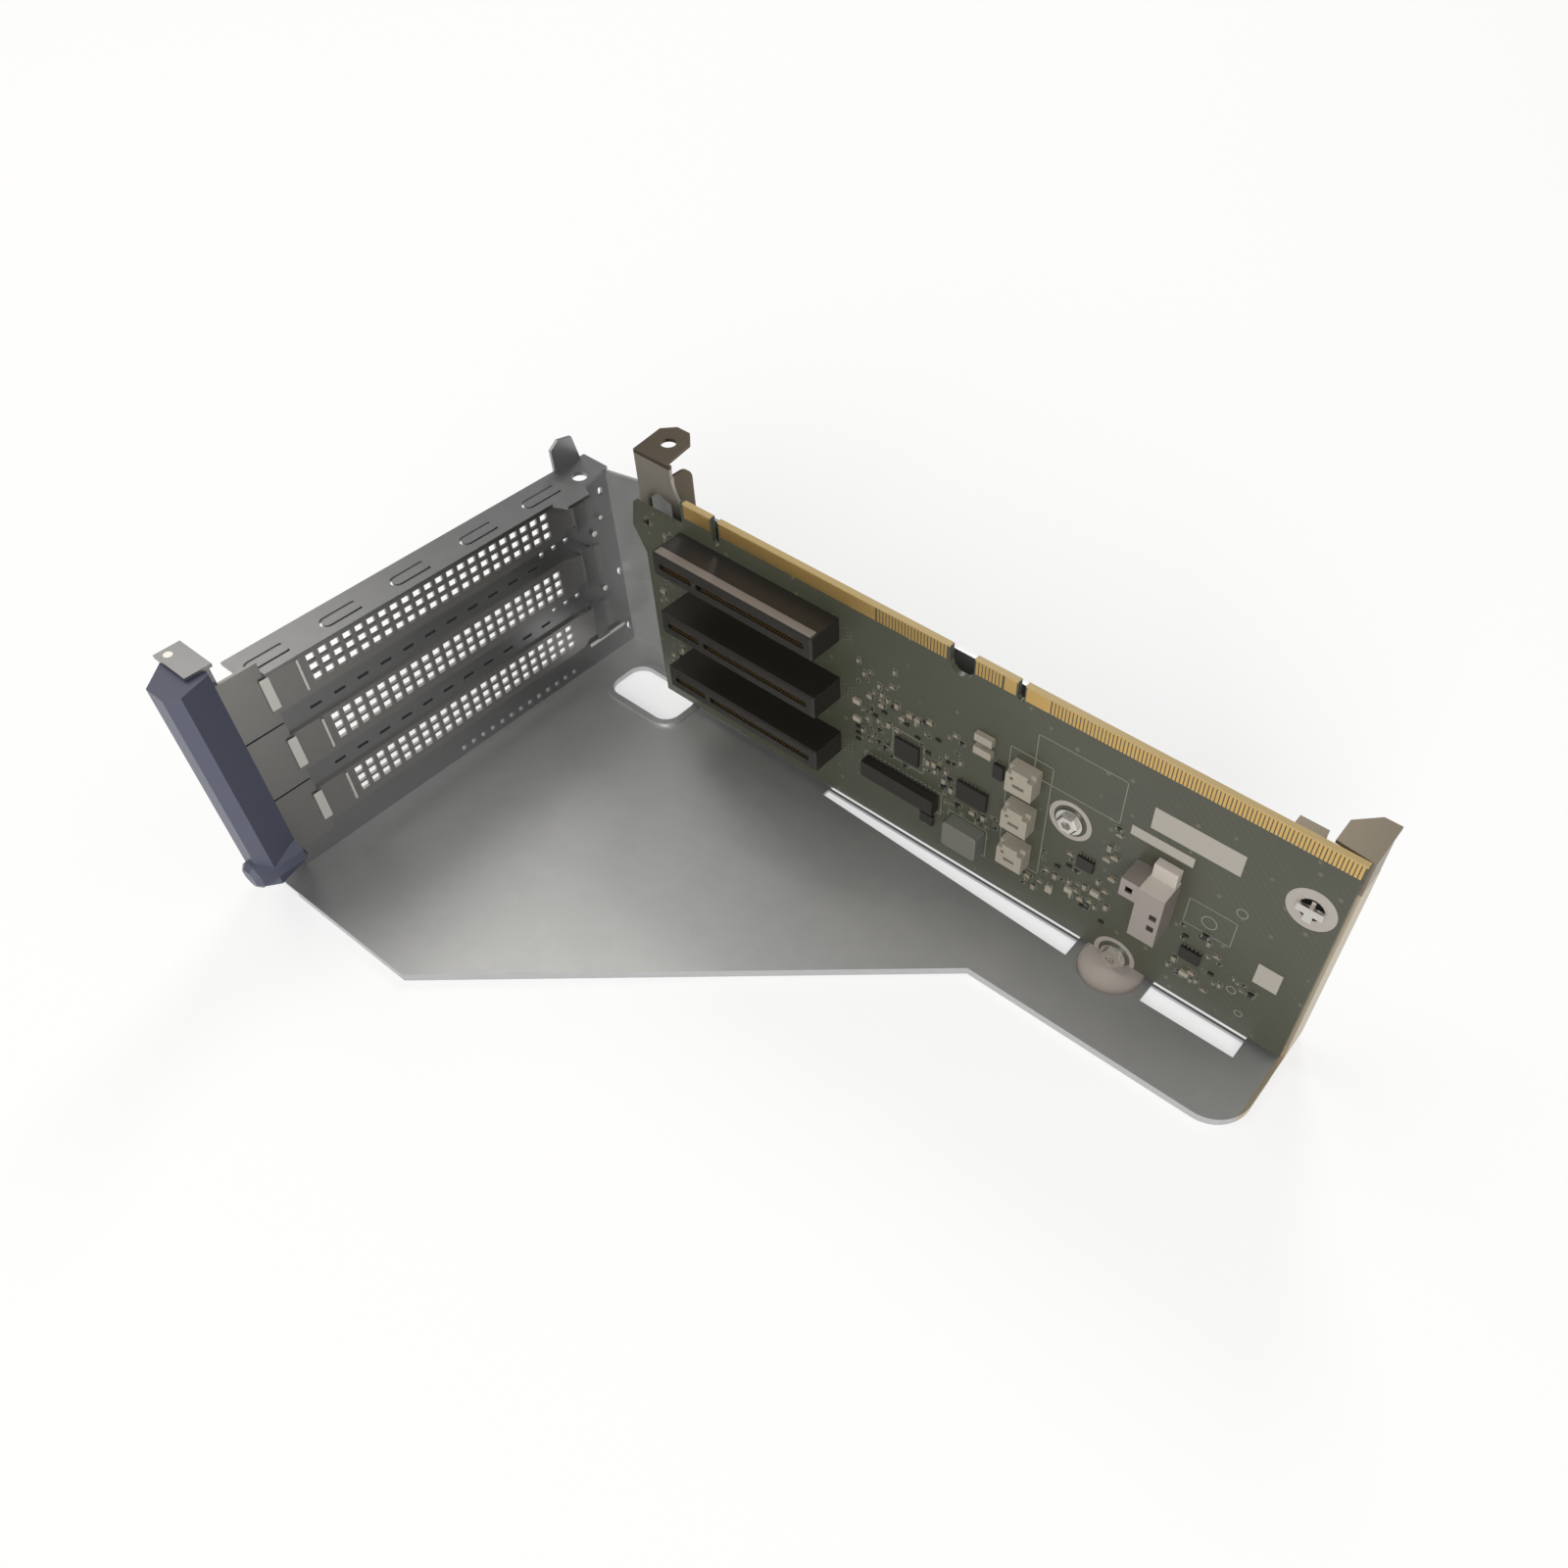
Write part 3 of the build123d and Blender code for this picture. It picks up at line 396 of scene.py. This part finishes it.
def makeLegs(bm):
    half, rise = chipLegs["width"] / 2, chipLegs["rise"]
    for left, right, low, high, count in chipLegs["chips"]:
        for k in range(count):
            x = left + (k + 0.5) * (right - left) / count
            for z0, z1 in ((low - chipLegs["reach"], low), (high, high + chipLegs["reach"])):
                addBox(bm, (x - half, -rise, z0), (x + half, 0, z1))


piece("chipLegs", makeLegs, materials["solder"])

# Bare laminate along the card edge, broken at its notches
laminateEdge = {"runs": ((44.2, 54.4), (56.9, 133.5), (141.0, 153.6), (155.8, 243.6)), "top": 78.42,
                "drop": 0.5, "front": -0.06, "back": 1.6}


def makeLaminateEdge(bm):
    e = laminateEdge
    for start, end in e["runs"]:
        addBox(bm, (start, e["front"], e["top"] - e["drop"]), (end, e["back"], e["top"]))


piece("laminateEdge", makeLaminateEdge, materials["laminateEdge"])

# Pale disc on the floor of the half-round pocket, painted light where the pocket floor would be in shade; cut
# off behind the board
pocketLitDisc = {"centre": (194.0, -1.5), "radius": 9.5, "back": 3.8, "level": -1.5, "thick": 0.12, "sides": 64}


def makePocketLitDisc(bm):
    f = pocketLitDisc
    addDisc(bm, (*f["centre"], f["level"] + f["thick"] / 2), f["radius"], f["thick"], "Z", f["sides"])
    cut = bmesh.ops.bisect_plane(bm, geom=bm.verts[:] + bm.edges[:] + bm.faces[:],
                                 plane_co=at(0, f["back"], 0), plane_no=(0, 1, 0), clear_outer=True)
    bmesh.ops.contextual_create(bm, geom=[g for g in cut["geom_cut"] if isinstance(g, bmesh.types.BMEdge)])


piece("pocketLitDisc", makePocketLitDisc, materials["pocket"])

# Lighter strips on the crowns of the covers' ribs, painted highlights: place and half width of each
ribHighlightStrips = {"heights": (57.26, 36.94, 16.62), "half": 5.0, "ribs": ((-103.3, 1.25), (-94.0, 0.3)), "face": 0.5,
          "lift": 0.04}


def makeRibHighlights(bm):
    back, front, tall = ribHighlightStrips["face"] - ribHighlightStrips["lift"], ribHighlightStrips["face"] + ribHighlightStrips["lift"], ribHighlightStrips["half"]
    for height in ribHighlightStrips["heights"]:
        for y, half in ribHighlightStrips["ribs"]:
            addBox(bm, (back, y - half, height - tall), (front, y + half, height + tall))


piece("paintedRibHighlights", makeRibHighlights, materials["paintedHighlight"])

# Marks beside the covers' tongues: dark discs of painted shade where cut-outs are punched and raised dimples
# in a painted highlight colour (place and radius), a strap with a painted highlight
tongueShadeAndHighlights = {"shadeSpots": ((-0.1, 42.5, 1.3), (-0.9, 20.0, 1.4)), "spotRise": 0.06, "spotSides": 28,
               "dimples": ((3.4, 45.9, 0.9), (3.6, 25.7, 0.9), (6.7, 50.0, 0.7)), "rise": 0.3,
               "strap": (-6.3, 8.2, 8.3, 9.3), "strapBevel": 0.1, "inner": 0.0}


def makeSpotShade(bm):
    t = tongueShadeAndHighlights
    for y, z, radius in t["shadeSpots"]:
        addDisc(bm, (t["inner"], y, z), radius, 2 * t["spotRise"], "X", t["spotSides"])


def makeDimpleHighlights(bm):
    t = tongueShadeAndHighlights
    for y, z, radius in t["dimples"]:
        bulge = Matrix.Diagonal((t["rise"] / 1000, radius / 1000, radius / 1000, 1))
        bmesh.ops.create_uvsphere(bm, u_segments=20, v_segments=12, radius=1.0,
                                  matrix=Matrix.Translation(at(t["inner"], y, z)) @ bulge)
    back, front, low, high = t["strap"]
    addBox(bm, (t["inner"] - t["spotRise"], back, low), (t["inner"] + t["rise"], front, high),
           t["strapBevel"])


# painted shade on the dark spots; painted highlight on the dimples and the strap
piece("paintedSpotShade", makeSpotShade, materials["recessPaintedShade"])
piece("panelDimpleHighlights", makeDimpleHighlights, materials["paintedHighlight"], smooth=True)

# Dark blocks in the rear panel's slits between the covers, painted shade that closes the slits
slitShadeBlocks = {"heights": (57.26, 36.94), "drop": 11.3, "start": 20.0, "pitch": 7.34, "number": 11,
               "length": 3.4, "height": 0.9, "room": 0.02, "front": -1.1, "back": -1.7}


def makeSlitShade(bm):
    f = slitShadeBlocks
    half, tall = f["length"] / 2 - f["room"], f["height"] / 2 - f["room"]
    for height in f["heights"]:
        for k in range(f["number"]):
            y, z = -f["start"] - k * f["pitch"], height - f["drop"]
            addBox(bm, (f["back"], y - half, z - tall), (f["front"], y + half, z + tall))


piece("slitShadeBlocks", makeSlitShade, materials["recessPaintedShade"])

# Small parts strewn over the board in clusters, each a body and two end caps. An area is left, right, low,
# high and a count; sizes are long side, short side and rise; parts keep clear of keepOut
clusters = {
    "areas": ((104, 134, 28, 50, 46), (104, 118, 50, 60, 8), (134, 152, 22, 29, 12), (134, 139, 30, 50, 10),
              (166, 188, 14, 34, 26), (206, 222, 10, 30, 16), (184, 190, 36, 50, 6), (28, 38, 60, 66, 5),
              (29, 39, 38, 44, 6), (29, 39, 17, 24, 6), (222, 232, 12, 22, 6), (158, 170, 10, 15, 6)),
    "sizes": ((1.0, 0.5, 0.35), (1.6, 0.8, 0.5), (2.0, 1.2, 0.8)),
    "keepOut": ((107, 134, 17, 26), (117, 127, 30, 40), (126.6, 133, 11, 17), (138, 150, 28, 37),
                (136, 150, 11, 22), (149, 154, 43, 51), (154, 167, 17, 57), (166.8, 180, 36.6, 50),
                (186.5, 200.5, -4, 10), (189, 207, 24, 53), (176.6, 183.4, 28.4, 34.6),
                (209.4, 217.2, 17.6, 24), (142, 150, 48, 58)),
    "tries": 30, "lyingShare": 0.5, "grid": 0.5, "room": 0.3, "blackEvery": 3,
    "cap": 0.25, "capReach": 0.1, "capLift": 0.02,
}


def onGrid(low, high):
    return round(random.uniform(low, high) / clusters["grid"]) * clusters["grid"]


def layOut():
    placed, room = [], clusters["room"]
    for left, right, low, high, count in clusters["areas"]:
        for _ in range(count):
            taken = [(a - room, b + room, c - room, d + room) for a, b, c, d, _ in placed]
            taken += clusters["keepOut"]
            for _ in range(clusters["tries"]):
                long, short, rise = random.choice(clusters["sizes"])
                lying = random.random() < clusters["lyingShare"]
                wide, tall = (long, short) if lying else (short, long)
                x, z = onGrid(left, right), onGrid(low, high)
                if all(x + wide <= a or x >= b or z + tall <= c or z >= d for a, b, c, d in taken):
                    placed.append((x, x + wide, z, z + tall, rise))
                    break
    return placed


smallParts = layOut()


def makeBodies(bm, tan):
    cap = clusters["cap"]
    for index, (x0, x1, z0, z1, rise) in enumerate(smallParts):
        if (index % clusters["blackEvery"] > 0) == tan:
            if x1 - x0 > z1 - z0:
                addBox(bm, (x0 + cap, -rise, z0), (x1 - cap, 0, z1))
            else:
                addBox(bm, (x0, -rise, z0 + cap), (x1, 0, z1 - cap))


def makeCaps(bm):
    cap, reach, lift = clusters["cap"], clusters["capReach"], clusters["capLift"]
    for x0, x1, z0, z1, rise in smallParts:
        if x1 - x0 > z1 - z0:
            for a, b in ((x0 - reach, x0 + cap), (x1 - cap, x1 + reach)):
                addBox(bm, (a, -rise - lift, z0 - lift), (b, 0, z1 + lift))
        else:
            for a, b in ((z0 - reach, z0 + cap), (z1 - cap, z1 + reach)):
                addBox(bm, (x0 - lift, -rise - lift, a), (x1 + lift, 0, b))


piece("tanSmallParts", lambda bm: makeBodies(bm, True), materials["ceramic"])
piece("blackSmallParts", lambda bm: makeBodies(bm, False), materials["black"])
piece("smallPartCaps", makeCaps, materials["solder"])


def addFrame(bm, left, right, low, high, line, rise):
    # printed rectangle: its bottom, top, left and right lines
    for x0, x1, z0, z1 in ((left, right, low, low + line), (left, right, high - line, high),
                           (left, left + line, low, high), (right - line, right, low, high)):
        addBox(bm, (x0, -rise, z0), (x1, 0, z1))


# Printed outlines round the small parts
outlines = {"room": 0.35, "line": 0.14, "rise": 0.03}


def makeOutlines(bm):
    gap = outlines["room"]
    for x0, x1, z0, z1, _ in smallParts:
        addFrame(bm, x0 - gap, x1 + gap, z0 - gap, z1 + gap, outlines["line"], outlines["rise"])


piece("partOutlines", makeOutlines, materials["print"])

# Pins along both long sides of the fine pin row, sizes in metres
rowPins = {"count": 16, "width": 0.0005, "reach": 0.0009, "rise": 0.0004}


def makeRowPins(bm):
    low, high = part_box("pin_row")
    step, half = (high.x - low.x) / rowPins["count"], rowPins["width"] / 2
    for k in range(rowPins["count"]):
        x = low.x + (k + 0.5) * step
        for z0, z1 in ((low.z - rowPins["reach"], low.z), (high.z, high.z + rowPins["reach"])):
            addBlock(bm, Vector((x - half, cageZero.y - rowPins["rise"], z0)),
                     Vector((x + half, cageZero.y, z1)))


piece("rowPins", makeRowPins, materials["solder"])

# Pale lid on the socket's upper end, with a bevelled step towards the board
socketLid = {"left": 198.3, "right": 205.6, "front": -7.9, "level": 43.3, "thick": 0.15, "stepInset": 0.3,
             "stepFront": -2.7, "stepTop": 48.1, "stepBevel": 0.2}


def makeSocketLid(bm):
    s = socketLid
    addBox(bm, (s["left"], s["front"], s["level"]), (s["right"], 0, s["level"] + s["thick"]))
    addBox(bm, (s["left"] + s["stepInset"], s["stepFront"], s["level"]),
           (s["right"] - s["stepInset"], 0, s["stepTop"]), s["stepBevel"])


piece("socketLid", makeSocketLid, materials["lid"])

# Lighter band along the top connector's front edge, a painted highlight, sizes in metres
connectorHighlightBand = {"inset": 0.0007, "front": 0.0006, "depth": 0.0027, "lift": 0.00005}


def makeHighlightBand(bm):
    low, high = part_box("card_connector_1")
    r = connectorHighlightBand
    front = low.y + r["front"]
    addBlock(bm, Vector((low.x + r["inset"], front, high.z - r["lift"])),
             Vector((high.x - r["inset"], front + r["depth"], high.z + r["lift"])))


piece("connectorHighlightBand", makeHighlightBand, materials["rim"])

# Bare labels: left, right, low and high of each
labels = {"thick": 0.08, "places": ((194.4, 218.6, 55.9, 63.0), (189.8, 207.2, 50.4, 53.6),
                                    (230.0, 236.6, 24.0, 31.5))}


def makeLabels(bm):
    for left, right, low, high in labels["places"]:
        addBox(bm, (left, -labels["thick"], low), (right, 0, high))


piece("bareLabels", makeLabels, materials["label"])

# Printed frames (left, right, low, high) and rings (place and radius), no lettering
ink = {"thick": 0.03, "line": 0.22, "ringLine": 0.3, "ringSides": 40,
       "frames": ((161.0, 186.6, 51.4, 66.0), (136.4, 149.6, 11.0, 21.8), (153.6, 166.6, 16.8, 57.4),
                  (107.0, 134.0, 17.6, 26.0), (208.6, 222.0, 31.0, 40.4), (116.6, 127.4, 29.4, 41.0)),
       "rings": ((215.2, 35.4, 2.2), (226.0, 16.4, 1.4), (229.8, 9.2, 1.2), (222.0, 44.6, 1.6))}


def makeInk(bm):
    for edges in ink["frames"]:
        addFrame(bm, *edges, ink["line"], ink["thick"])
    for x, z, radius in ink["rings"]:
        addRing(bm, (x, 0, z), radius, radius - ink["ringLine"], ink["thick"], ink["ringSides"])


piece("boardInk", makeInk, materials["print"])
print("board pieces done")

# Pale floor, shown plain white to the camera and in reflections
floorLook = {"color": (0.93, 0.93, 0.93), "rough": 0.9, "plainWhite": 0.62, "half": 6.0}


def makeFloorMaterial(look):
    material = newMaterial("paleFloor", look["color"], look["rough"], specular=0.0)
    tree = material.node_tree
    rays = node(tree, "ShaderNodeLightPath")
    direct = node(tree, "ShaderNodeMath", operation="MAXIMUM")
    seen = node(tree, "ShaderNodeMath", operation="MAXIMUM")
    share = node(tree, "ShaderNodeMath", {1: look["plainWhite"]}, operation="MULTIPLY")
    glow = node(tree, "ShaderNodeEmission")
    blend = node(tree, "ShaderNodeMixShader")
    tree.links.new(rays.outputs["Is Camera Ray"], direct.inputs[0])
    tree.links.new(rays.outputs["Is Glossy Ray"], direct.inputs[1])
    tree.links.new(direct.outputs[0], seen.inputs[0])
    tree.links.new(rays.outputs["Is Transmission Ray"], seen.inputs[1])
    tree.links.new(seen.outputs[0], share.inputs[0])
    tree.links.new(share.outputs[0], blend.inputs["Fac"])
    tree.links.new(tree.nodes["Principled BSDF"].outputs[0], blend.inputs[1])
    tree.links.new(glow.outputs[0], blend.inputs[2])
    tree.links.new(blend.outputs[0], tree.nodes["Material Output"].inputs["Surface"])
    return material


floorMesh = bpy.data.meshes.new("floor")
floorShape = bmesh.new()
bmesh.ops.create_grid(floorShape, x_segments=1, y_segments=1, size=floorLook["half"])
floorShape.to_mesh(floorMesh)
floorShape.free()
floorMesh.materials.append(makeFloorMaterial(floorLook))
floor = bpy.data.objects.new("floor", floorMesh)
bpy.context.scene.collection.objects.link(floor)

# Plain surroundings and soft lamps aimed at the part, places in metres
worldColor = (0.245, 0.25, 0.258)
lights = {
    "softFront": {"place": (1.1, -2.3, 1.35), "size": 1.6, "power": 74.0, "color": (1.0, 0.985, 0.96)},
    "windowLeft": {"place": (-1.15, -0.10, 1.64), "size": 1.5, "power": 12.5, "color": (1.0, 0.97, 0.91)},
    "backLeft": {"place": (-0.75, 1.6, 1.5), "size": 0.6, "power": 13.0, "color": (1.0, 0.98, 0.95)},
    "softRight": {"place": (1.24, 0.58, 1.46), "size": 1.2, "power": 3.8, "color": (1.0, 0.98, 0.95)},
}
world = bpy.data.worlds.new("studio")
bpy.context.scene.world = world
world.use_nodes = True
world.node_tree.nodes["Background"].inputs["Color"].default_value = (*worldColor, 1)
for name, values in lights.items():
    data = bpy.data.lights.new(name, "AREA")
    data.shape = "SQUARE"
    data.size = values["size"]
    data.energy = values["power"]
    data.color = values["color"]
    lamp = bpy.data.objects.new(name, data)
    lamp.location = values["place"]
    lamp.rotation_euler = (-Vector(values["place"])).to_track_quat("-Z", "Y").to_euler()
    bpy.context.scene.collection.objects.link(lamp)

# Camera at the photograph's angle: place in the working frame, turn in degrees, lens and sensor in mm
shot = {"place": (267.49, -197.99, 283.0), "turn": (39.605, -2.3914, 37.1588), "lens": 29.489, "sensor": 36,
        "shift": (-0.0950, 0.0525), "clipStart": 0.01}
cameraData = bpy.data.cameras.new("photoCamera")
cameraData.lens = shot["lens"]
cameraData.sensor_width = shot["sensor"]
cameraData.shift_x, cameraData.shift_y = shot["shift"]
cameraData.clip_start = shot["clipStart"]
camera = bpy.data.objects.new("photoCamera", cameraData)
camera.location = at(*shot["place"])
camera.rotation_euler = [math.radians(angle) for angle in shot["turn"]]
bpy.context.scene.collection.objects.link(camera)
bpy.context.scene.camera = camera
bpy.context.scene.view_settings.view_transform = "Standard"

print("scene done")
